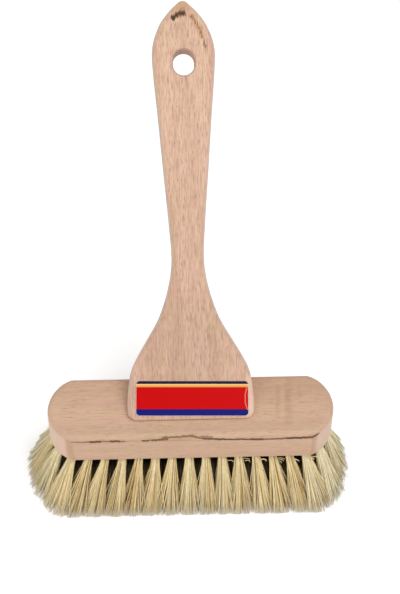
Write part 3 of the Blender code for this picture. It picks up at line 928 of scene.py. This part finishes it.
def add_screw_seats(shape):
    """The handle's countersunk bores, each as its rings from top to bottom."""
    head = SCREW_HEAD_RADIUS + GAP
    narrow = head - SCREW_SHANK_RADIUS - GAP
    lip = -SCREW_SINK - GAP
    pairs = [(0, 0), (0, lip), (-narrow, lip - narrow), (-narrow, -HANDLE_THICKNESS)]
    return [add_wall(shape, circle((side * SCREW_SPACING, SCREW_FROM_TOE), head, 24), pairs) for side in (-1, 0, 1)]


def cut_foot(shape):
    """Cuts the handle's foot off along the block's top."""
    to_handle = HANDLE_SPACE.inverted()
    on_block = to_handle @ Vector((0, 0, BLOCK_TOP + GAP))
    upright = to_handle.to_3x3() @ Vector((0, 0, 1))
    everything = [*shape.verts, *shape.edges, *shape.faces]
    cut = bmesh.ops.bisect_plane(shape, geom=everything, plane_co=on_block, plane_no=upright, clear_inner=True)
    edges = [item for item in cut["geom_cut"] if isinstance(item, bmesh.types.BMEdge)]
    bmesh.ops.triangle_fill(shape, edges=edges, use_beauty=True)


def make_handle(wood):
    shape = bmesh.new()
    outline = handle_outline()
    share = np.clip(outline[:, 1] / FOOT_CORNER_RADIUS, 0, 1)
    edge = quarter(wood.toe_rounding + (wood.handle_rounding - wood.toe_rounding) * share, 0, 7)
    sides = [(0, -HANDLE_THICKNESS * depth) for depth in (0.42, 0.58)]
    board = add_wall(shape, outline, edge + sides + turned_over(edge, 0, -HANDLE_THICKNESS))
    hole = slot_hole(HANDLE_LENGTH - HOLE_FROM_TIP, HOLE_WIDTH, HOLE_HEIGHT, 28)
    rim = quarter(wood.hole_rounding, 0, 5)
    slot = add_wall(shape, hole, rim + turned_over(rim, 0, -HANDLE_THICKNESS))
    walls = [board, slot, *add_screw_seats(shape)]
    for end in (0, -1):
        add_cap(shape, [rings[end] for rings in walls])
    cut_foot(shape)
    piece = finished("beech_handle", shape, handle_material(wood), HANDLE_SPACE)
    return settle(piece, "handle_beech", "handle")


# ---------------------------------------------------------------- tufts


def fibre_material(name, tufts, shade):
    """Colour by each fibre's tone, which holds painted shade deep in each tuft and painted light on the end tufts;
    darker at the block as far as shade says, as painted shade, and paler at the cut tips.
    """
    shader = Shader(name)
    tone = shader.add("ShaderNodeAttribute", {}, attribute_name="tone").outputs["Fac"]
    along = shader.add("ShaderNodeAttribute", {}, attribute_name="along").outputs["Fac"]
    place = shader.places()
    mottle = shader.noise(place, (0.9, 0.9, 0.12), 2.0, 0.6)
    colours = (tufts.olive, BROWN_FIBRE, tufts.straw, tufts.straw, tufts.light)
    colour = shader.ramp(tone, list(zip((0.0, 0.12, 0.3, 0.6, 0.9), colours)))
    colour = shader.mixed(shader.between(mottle, 0.35, 0.75, 0.0, 0.35), colour, BROWN_FIBRE)
    colour = shader.mixed(shader.between(along, 0.85, 1.0, 0.0, 0.7), colour, CUT_TIP)
    colour = shader.mixed(shader.between(along, 0.8, 0.35, 0.0, shade), colour, DEEP_SHADE)
    normal = shader.bump(mottle, 0.05 * MM, 0.3)
    return shader.finish(colour, 0.55, normal, Specular_IOR_Level=0.2)


def fibre_uvs(along):
    """UV places in rows and columns, one cell to a fibre. along is fibres by steps by sides."""
    fibres, _, sides = along.shape
    columns = math.ceil(math.sqrt(fibres * 3))
    rows = math.ceil(fibres / columns)
    row, column = (part[:, None, None] for part in np.divmod(np.arange(fibres), columns))
    across = (np.arange(sides) + 0.5) / sides
    u = (column + 0.15 + 0.7 * across) / columns
    v = (row + 0.05 + 0.9 * along) / rows
    return np.stack(np.broadcast_arrays(u, v), -1).reshape(-1, 2)


def fibre_mesh(name, paths, radii, tones, sides=3):
    """A closed tube round each path. paths is fibres by steps by xyz, from root to tip."""
    fibres, steps = paths.shape[:2]
    ahead = np.gradient(paths, axis=1)
    ahead /= np.linalg.norm(ahead, axis=2, keepdims=True)
    side = np.cross(ahead, (0.31, 0.93, 0.19))
    side /= np.linalg.norm(side, axis=2, keepdims=True)
    up = np.cross(ahead, side)
    turn = np.arange(sides) * 2 * math.pi / sides
    round_it = np.cos(turn)[:, None] * side[:, :, None] + np.sin(turn)[:, None] * up[:, :, None]
    places = paths[:, :, None] + round_it * radii[:, :, None, None]
    ring = np.arange(fibres * steps * sides).reshape(fibres, steps, sides)
    low, high = ring[:, :-1], ring[:, 1:]
    quads = np.stack((low, np.roll(low, -1, 2), np.roll(high, -1, 2), high), -1).reshape(-1, 4)
    ends = np.concatenate((ring[:, 0, ::-1], ring[:, -1]))
    mesh = bpy.data.meshes.new(name)
    mesh.from_pydata(places.reshape(-1, 3), [], [*quads.tolist(), *ends.tolist()])
    along = np.broadcast_to(np.linspace(0, 1, steps)[None, :, None], ring.shape)
    for label, values in (("tone", np.broadcast_to(tones[:, None, None], ring.shape)), ("along", along)):
        attribute = mesh.attributes.new(label, "FLOAT", "POINT")
        attribute.data.foreach_set("value", values.astype(np.float32).ravel())
    corners = np.empty(len(mesh.loops), np.int32)
    mesh.loops.foreach_get("vertex_index", corners)
    uv = fibre_uvs(along)[corners]
    mesh.uv_layers.new(name=BAKE_MAP).data.foreach_set("uv", uv.astype(np.float32).ravel())
    mesh.shade_smooth()
    return mesh


def tuft_lean(dice, root, tufts):
    """How far one tuft leans, which way is out and which sideways, and from 0 to 1 how near to an end it is."""
    half = np.array((BLOCK_LENGTH / 2 - OUTER_INSET, BLOCK_WIDTH / 2 - OUTER_INSET))
    from_middle = np.array((root[0], root[1] - BLOCK_MIDDLE)) / half
    lean = from_middle * (SPLAY_ALONG, SPLAY_ACROSS)
    out = lean / max(np.linalg.norm(lean), 1e-6)
    side = np.array((-out[1], out[0]))
    lean = lean + tufts.lean + dice.normal(0, LEAN_SPREAD) * side
    at_end = np.clip((abs(root[0]) - FAN_START) / FAN_RUN, 0, 1)
    if root[0] < 0:  # the left end is pushed back into a blunt point
        across = from_middle[1] ** 2
        lean = lean + at_end * np.array((2.8 * across - 1.5, 4 * (1 - across))) * MM
    return lean, out, side, at_end


def tuft_paths(dice, root, tufts, count):
    """One tuft's fibres, which leave a round hole, lean away from the brush's middle and fan out.

    Returns their paths, and how much lighter each one is than its tuft, with painted shade on the fibres deep inside
    it.
    """
    lean, out, side, at_end = tuft_lean(dice, root, tufts)
    angle = dice.uniform(0, 2 * math.pi, count)
    share = np.sqrt(dice.uniform(0, 1, count))
    way = np.stack((np.cos(angle), np.sin(angle)), 1) * share[:, None]
    start = way * (tufts.hole_radius - tufts.fibre_radius * 1.2)
    start = start[:, :1] * side + start[:, 1:] * out
    spread = tufts.spread * (0.9 + 0.54 * at_end) * dice.normal(1, 0.08)
    fan = way * (spread, tufts.reach) + dice.normal(0, 0.5 * MM, (count, 2))
    fan = fan[:, :1] * side + fan[:, 1:] * out
    # Fibres cling together in locks, and some stray to the side
    locks = count // FIBRES_IN_LOCK
    lock_tips = fan[dice.choice(count, locks, replace=False)]
    nearest = np.argmin(np.linalg.norm(fan[:, None] - lock_tips[None], axis=2), axis=1)
    fan += (lock_tips[nearest] - fan) * dice.uniform(0.1, 0.7, (count, 1))
    # Each lock's own tone, less painted shade on the fibres deep inside the tuft
    lighter = dice.normal(0, 0.11, locks)[nearest] - 0.9 * (1 - share) ** 2
    stray = dice.uniform(0, 1, count) < STRAY_SHARE
    fan[stray] += dice.normal(0, STRAY_REACH, (int(stray.sum()), 1)) * side
    # Each one runs from its start to its place in the fan, with a slow wave of its own
    t = np.linspace(0, 1, FIBRE_STEPS)[None, :, None]
    opening = t ** dice.uniform(1.25, 1.7, (count, 1, 1))
    places = start[:, None] * (1 - opening) + fan[:, None] * opening + lean * t
    turns = dice.uniform(0.3, 0.9, (count, 1, 2))
    phase = dice.uniform(0, 2 * math.pi, (count, 1, 2))
    swing = dice.normal(0, tufts.wave, (count, 1, 2)) * np.where(stray, 2.5, 1.0)[:, None, None]
    places = places + swing * (np.sin(t * turns * 2 * math.pi + phase) - np.sin(phase)) * t + root
    top = BLOCK_BOTTOM + ROOT_DEPTH
    tips = dice.uniform(0, 1, count) ** 2.2 * tufts.uneven + 0.3 * MM
    heights = top + (tips[:, None, None] - top) * t
    # Fibres that stray far out are brushed back towards the frame's tufts
    far = np.minimum(places - TUFTS_LOW + LEAST_STRAY, 0) + np.maximum(places - TUFTS_HIGH - LEAST_STRAY, 0)
    return np.concatenate((places - BRUSHED_BACK * far, heights), 2), lighter


def curl_paths(dice, places):
    """Short loose ends that curl over the gaps between the front tufts, right of the middle."""
    front = sorted(place for place in places if place[1] < BLOCK_MIDDLE and CURLS_FROM < place[0] < CURLS_TO)
    turns = np.linspace(math.radians(200), math.radians(-20), FIBRE_STEPS)
    paths = []
    for left, right in zip(front, front[1:]):
        for _ in range(dice.integers(2, 5)):
            middle = np.array(((left[0] + right[0]) / 2, left[1] - 4.3 * MM, BLOCK_BOTTOM - 6.3 * MM))
            middle += dice.normal(0, 0.6 * MM, 3)
            width, height = dice.uniform(1.4, 2.4) * MM, dice.uniform(0.9, 1.7) * MM
            forward = np.linspace(0, -1, FIBRE_STEPS) * MM
            paths.append(middle + np.stack((width * np.cos(turns), forward, height * np.sin(turns)), 1))
    return np.array(paths)


def make_tufts(name, node, places, tufts, count, shade, curled, dice):
    """Tufts at the given places as one piece, with loose curled ends between them where curled is true."""
    roots = np.array([(x + ROOTS_ASIDE - ROOTS_DRAWN_IN * x, y) for x, y in places])
    parts = [tuft_paths(dice, root, tufts, count) for root in roots]
    paths, lighter = (np.concatenate(part) for part in zip(*parts))
    # Painted light: the tufts at the ends are paler
    paler = 0.45 * np.clip((np.abs(roots[:, 0]) - LIT_END_START) / LIT_END_RUN, 0, 1)
    tuft_tone = dice.normal(0, 0.05, len(roots)) + paler
    tones = dice.beta(1.4, 1.2, len(paths)) + lighter + np.repeat(tuft_tone, count)
    if curled:
        curls = curl_paths(dice, places)
        paths = np.concatenate((paths, curls))
        tones = np.concatenate((tones, dice.uniform(0.4, 0.75, len(curls))))
    t = np.linspace(0, 1, FIBRE_STEPS)
    radii = tufts.fibre_radius * dice.uniform(0.75, 1.2, (len(paths), 1)) * (1 - 0.35 * t**2)[None]
    mesh = fibre_mesh(name, paths, radii, np.clip(tones, 0, 1))
    mesh.materials.append(fibre_material(name + "_fibre", tufts, shade))
    piece = bpy.data.objects.new(name, mesh)
    bpy.context.scene.collection.objects.link(piece)
    return settle(piece, "tuft_fibre", node)


# ---------------------------------------------------------------- label and screws


def label_material(label):
    """Plain stripes across the label, by the distance from its upper edge."""
    shader = Shader("label_print")
    place = shader.places(LABEL_SPACE)
    y, z = shader.parts(place)[1:]
    width = LABEL_WIDTH / MM
    down = shader.sum("DIVIDE", shader.sum("SUBTRACT", width / 2, y), width)
    stripes = (
        (2.2, label.navy),
        (2.3, label.yellow),
        (4.4, label.orange),
        (4.8, tuple(part * 0.7 for part in label.red)),
        (5.8, label.red),
        (19.75, label.red),
        (19.85, label.blue),
    )
    colour = shader.ramp(down, [(depth / width, stripe) for depth, stripe in stripes])
    flat = shader.vector("MULTIPLY", place, (1, 1, 0))
    corner = LABEL_CORNER_RADIUS / MM
    inner = (LABEL_LENGTH / MM / 2 - corner, width / 2 - corner, 0)
    outside = shader.vector("SUBTRACT", shader.vector("ABSOLUTE", flat), inner)
    outside = shader.vector("LENGTH", shader.vector("MAXIMUM", outside, (0, 0, 0)), output=1)
    colour = shader.mixed(shader.between(outside, corner - 0.2, corner - 0.12), colour, label.border)
    # A crease near the right end: a bump, with a painted glint along it
    crease = shader.marks(flat, strokes_along(LABEL_CREASE_WAY, 1.1, 1.0, 0.5))
    colour = shader.mixed(shader.sum("MULTIPLY", crease, 0.6), colour, CREASE_GLINT)
    fibres = shader.noise(place, (1.6, 1.6, 1.6), 3.0, 0.6)
    colour = shader.tinted(shader.between(fibres, 0.3, 0.8, 0.0, 0.25), colour, PRINT_TINT)
    colour = shader.mixed(shader.between(z, 0.05, 0.2), label.border, colour)
    roughness = shader.between(fibres, 0.2, 0.8, 0.32, 0.42)
    normal = shader.bump(shader.sum("MULTIPLY_ADD", crease, 3.0, fibres), 0.04 * MM, 0.4)
    return shader.finish(colour, roughness, normal, Specular_IOR_Level=0.06)


def make_label(label):
    shape = bmesh.new()
    half_length = LABEL_LENGTH / 2 - LABEL_CORNER_RADIUS
    half_width = LABEL_WIDTH / 2 - LABEL_CORNER_RADIUS
    corners = []
    for turn, (x, y) in enumerate(((1, -1), (1, 1), (-1, 1), (-1, -1))):
        start = (turn - 1) * math.pi / 2
        corners.append(arc((x * half_length, y * half_width), LABEL_CORNER_RADIUS, start, start + math.pi / 2, 10))
    outline = np.concatenate(corners)
    rim = quarter(LABEL_EDGE_RADIUS, LABEL_THICKNESS, 2)
    rings = add_wall(shape, outline, [*rim, (0, 0)])
    add_cap(shape, [rings[0]])
    add_cap(shape, [rings[-1]])
    piece = finished("paper_label", shape, label_material(label), LABEL_SPACE)
    return settle(piece, "label_paper", "label")


def screw_material():
    shader = Shader("zinc_screw")
    place = shader.places()
    turned = shader.noise(place, (0.5, 0.5, 6.0), 2.0)
    stain = shader.noise(place, (0.6, 0.6, 0.6), 3.0)
    colour = shader.mixed(shader.between(stain, 0.4, 0.7, 0.0, 0.6), ZINC, DULL_ZINC)
    roughness = shader.between(turned, 0.3, 0.7, 0.28, 0.42)
    normal = shader.bump(turned, 0.03 * MM, 0.5)
    return shader.finish(colour, roughness, normal, Metallic=1.0)


# ---------------------------------------------------------------- stage


def is_seen(tree):
    """1 for rays that come from the camera, a reflection or a clear material, else 0."""
    rays = tree.nodes.new("ShaderNodeLightPath")
    seen = rays.outputs["Is Camera Ray"]
    for name in ("Is Glossy Ray", "Is Transmission Ray"):
        either = tree.nodes.new("ShaderNodeMath")
        either.operation = "MAXIMUM"
        tree.links.new(seen, either.inputs[0])
        tree.links.new(rays.outputs[name], either.inputs[1])
        seen = either.outputs[0]
    return seen


def floor_material(stage):
    """A white floor that keeps the brush's shadow. Seen rays get some light of its own, so that it shows white."""
    shader = Shader("studio_floor")
    tree = shader.tree
    place = shader.places()
    cloud = shader.noise(place, (0.004, 0.004, 0.004), 2.0)
    colour = shader.mixed(shader.between(cloud, 0.3, 0.7, 0.0, 0.3), stage.floor_colour, (0.9, 0.9, 0.9))
    shader.finish(colour, 0.9, Specular_IOR_Level=0.0)
    strength = shader.sum("MULTIPLY", is_seen(tree), stage.floor_glow)
    glow = shader.add("ShaderNodeEmission", {"Color": (1, 1, 1, 1), "Strength": strength})
    both = shader.add("ShaderNodeAddShader", {0: shader.principled.outputs[0], 1: glow.outputs[0]})
    tree.links.new(both.outputs[0], tree.nodes["Material Output"].inputs[0])
    return shader.material


def make_world(stage):
    world = bpy.data.worlds.new("studio")
    world.use_nodes = True
    tree = world.node_tree
    background = tree.nodes["Background"]
    background.inputs["Color"].default_value = (1, 1, 1, 1)
    strength = tree.nodes.new("ShaderNodeMapRange")
    strength.inputs["To Min"].default_value = stage.sky
    strength.inputs["To Max"].default_value = 1
    tree.links.new(is_seen(tree), strength.inputs["Value"])
    tree.links.new(strength.outputs[0], background.inputs["Strength"])
    bpy.context.scene.world = world


def make_lamp(name, place, power):
    lamp = bpy.data.lights.new(name, "AREA")
    lamp.shape = "DISK"
    lamp.size = LAMP_SIZE
    lamp.energy = power
    made = bpy.data.objects.new(name, lamp)
    bpy.context.scene.collection.objects.link(made)
    made.location = place
    made.rotation_euler = (Vector(LAMP_AIM) - Vector(place)).to_track_quat("-Z", "Y").to_euler()


def make_camera(stage):
    camera = bpy.data.cameras.new("camera")
    camera.sensor_width = FILM
    camera.lens = stage.lens
    camera.clip_start = 0.05
    camera.clip_end = 50
    made = bpy.data.objects.new("camera", camera)
    bpy.context.scene.collection.objects.link(made)
    ahead = Vector(CAMERA_AHEAD).normalized()
    right = ahead.cross(Vector((0, 0, 1))).normalized()
    up = right.cross(ahead)
    turned = Matrix((right, up, -ahead)).transposed() @ Matrix.Rotation(-CAMERA_ROLL, 3, "Z")
    made.matrix_world = Matrix.Translation(HANDLE_SPACE.translation + CAMERA_FROM_FOOT) @ turned.to_4x4()
    bpy.context.scene.camera = made


def make_stage(stage):
    shape = bmesh.new()
    bmesh.ops.create_grid(shape, x_segments=8, y_segments=8, size=FLOOR_REACH)
    floor = finished("studio_floor", shape, floor_material(stage))
    make_world(stage)
    make_lamp("key_lamp", KEY_PLACE, stage.key)
    make_lamp("fill_lamp", FILL_PLACE, stage.fill)
    make_camera(stage)
    bpy.context.scene.view_settings.view_transform = "Standard"


# ---------------------------------------------------------------- operators and panel


class BRUSH_OT_block(bpy.types.Operator):
    """Builds the beech block with its rounded edge, tuft holes and scorched ledge"""

    bl_idname = "brush.block"
    bl_label = "Block"
    bl_options = {"REGISTER", "UNDO"}

    def execute(self, context):
        replace_old("beech_block")
        make_block(context.scene.brush_wood, context.scene.brush_tufts)
        return {"FINISHED"}


class BRUSH_OT_handle(bpy.types.Operator):
    """Builds the beech handle with its rounded edges, hanging hole and slanted foot"""

    bl_idname = "brush.handle"
    bl_label = "Handle"
    bl_options = {"REGISTER", "UNDO"}

    def execute(self, context):
        replace_old("beech_handle")
        make_handle(context.scene.brush_wood)
        return {"FINISHED"}


class BRUSH_OT_tufts(bpy.types.Operator):
    """Builds every tuft fibre by fibre: two rings and a middle row"""

    bl_idname = "brush.tufts"
    bl_label = "Tufts"
    bl_options = {"REGISTER", "UNDO"}

    def execute(self, context):
        tufts = context.scene.brush_tufts
        dice = np.random.default_rng(tufts.seed)
        places = all_places()
        outer = places["tuft_ring_outer"]
        half = len(outer) // 2
        inner, row = places["tuft_ring_inner"], places["tuft_row_middle"]
        for name, node, roots, count, shade, curled in (
            ("fibres_outer_right", "tuft_ring_outer", outer[:half], tufts.outer_fibres, 0.0, True),
            ("fibres_outer_left", "tuft_ring_outer", outer[half:], tufts.outer_fibres, 0.0, False),
            ("fibres_inner", "tuft_ring_inner", inner, tufts.inner_fibres, INNER_SHADE, False),
            ("fibres_middle", "tuft_row_middle", row, tufts.inner_fibres, INNER_SHADE, False),
        ):
            replace_old(name)
            make_tufts(name, node, roots, tufts, count, shade, curled, dice)
        return {"FINISHED"}


class BRUSH_OT_label(bpy.types.Operator):
    """Builds the striped paper label on the handle's foot"""

    bl_idname = "brush.label"
    bl_label = "Label"
    bl_options = {"REGISTER", "UNDO"}

    def execute(self, context):
        replace_old("paper_label")
        make_label(context.scene.brush_label)
        return {"FINISHED"}


class BRUSH_OT_screws(bpy.types.Operator):
    """Gives the three screws of the frame their zinc-plated steel"""

    bl_idname = "brush.screws"
    bl_label = "Screws"
    bl_options = {"REGISTER", "UNDO"}

    def execute(self, context):
        material = screw_material()
        for side in ("left", "middle", "right"):
            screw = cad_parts["handle_screw_" + side]
            for slot in screw.material_slots:
                slot.material = material
        return {"FINISHED"}


class BRUSH_OT_stage(bpy.types.Operator):
    """Builds the white floor, the lamps, the surroundings and the camera"""

    bl_idname = "brush.stage"
    bl_label = "Stage"
    bl_options = {"REGISTER", "UNDO"}

    def execute(self, context):
        for name in ("studio_floor", "key_lamp", "fill_lamp", "camera"):
            replace_old(name)
        make_stage(context.scene.brush_stage)
        return {"FINISHED"}


class BRUSH_PT_panel(bpy.types.Panel):
    """Settings and buttons of the bathtub brush"""

    bl_idname = "BRUSH_PT_panel"
    bl_label = "Bathtub brush"
    bl_space_type = "VIEW_3D"
    bl_region_type = "UI"
    bl_category = "Brush"

    def draw(self, context):
        layout = self.layout
        for group, operators in (
            ("brush_wood", ("brush.block", "brush.handle")),
            ("brush_tufts", ("brush.tufts",)),
            ("brush_label", ("brush.label", "brush.screws")),
            ("brush_stage", ("brush.stage",)),
        ):
            box = layout.box()
            settings = getattr(context.scene, group)
            for name in settings.__annotations__:
                box.prop(settings, name)
            for operator in operators:
                box.operator(operator)


GROUPS = {
    "brush_wood": BrushWoodSettings,
    "brush_tufts": BrushTuftSettings,
    "brush_label": BrushLabelSettings,
    "brush_stage": BrushStageSettings,
}
OPERATORS = (BRUSH_OT_block, BRUSH_OT_handle, BRUSH_OT_tufts, BRUSH_OT_label, BRUSH_OT_screws, BRUSH_OT_stage)


def register():
    for group in GROUPS.values():
        bpy.utils.register_class(group)
    for name, group in GROUPS.items():
        setattr(bpy.types.Scene, name, PointerProperty(type=group))
    for item in (*OPERATORS, BRUSH_PT_panel):
        bpy.utils.register_class(item)


def unregister():
    for item in reversed((*OPERATORS, BRUSH_PT_panel)):
        bpy.utils.unregister_class(item)
    for name, group in GROUPS.items():
        delattr(bpy.types.Scene, name)
        bpy.utils.unregister_class(group)


def main():
    register()
    bpy.ops.brush.block()
    bpy.ops.brush.handle()
    bpy.ops.brush.tufts()
    bpy.ops.brush.label()
    bpy.ops.brush.screws()
    bpy.ops.brush.stage()


if __name__ == "__main__":
    main()
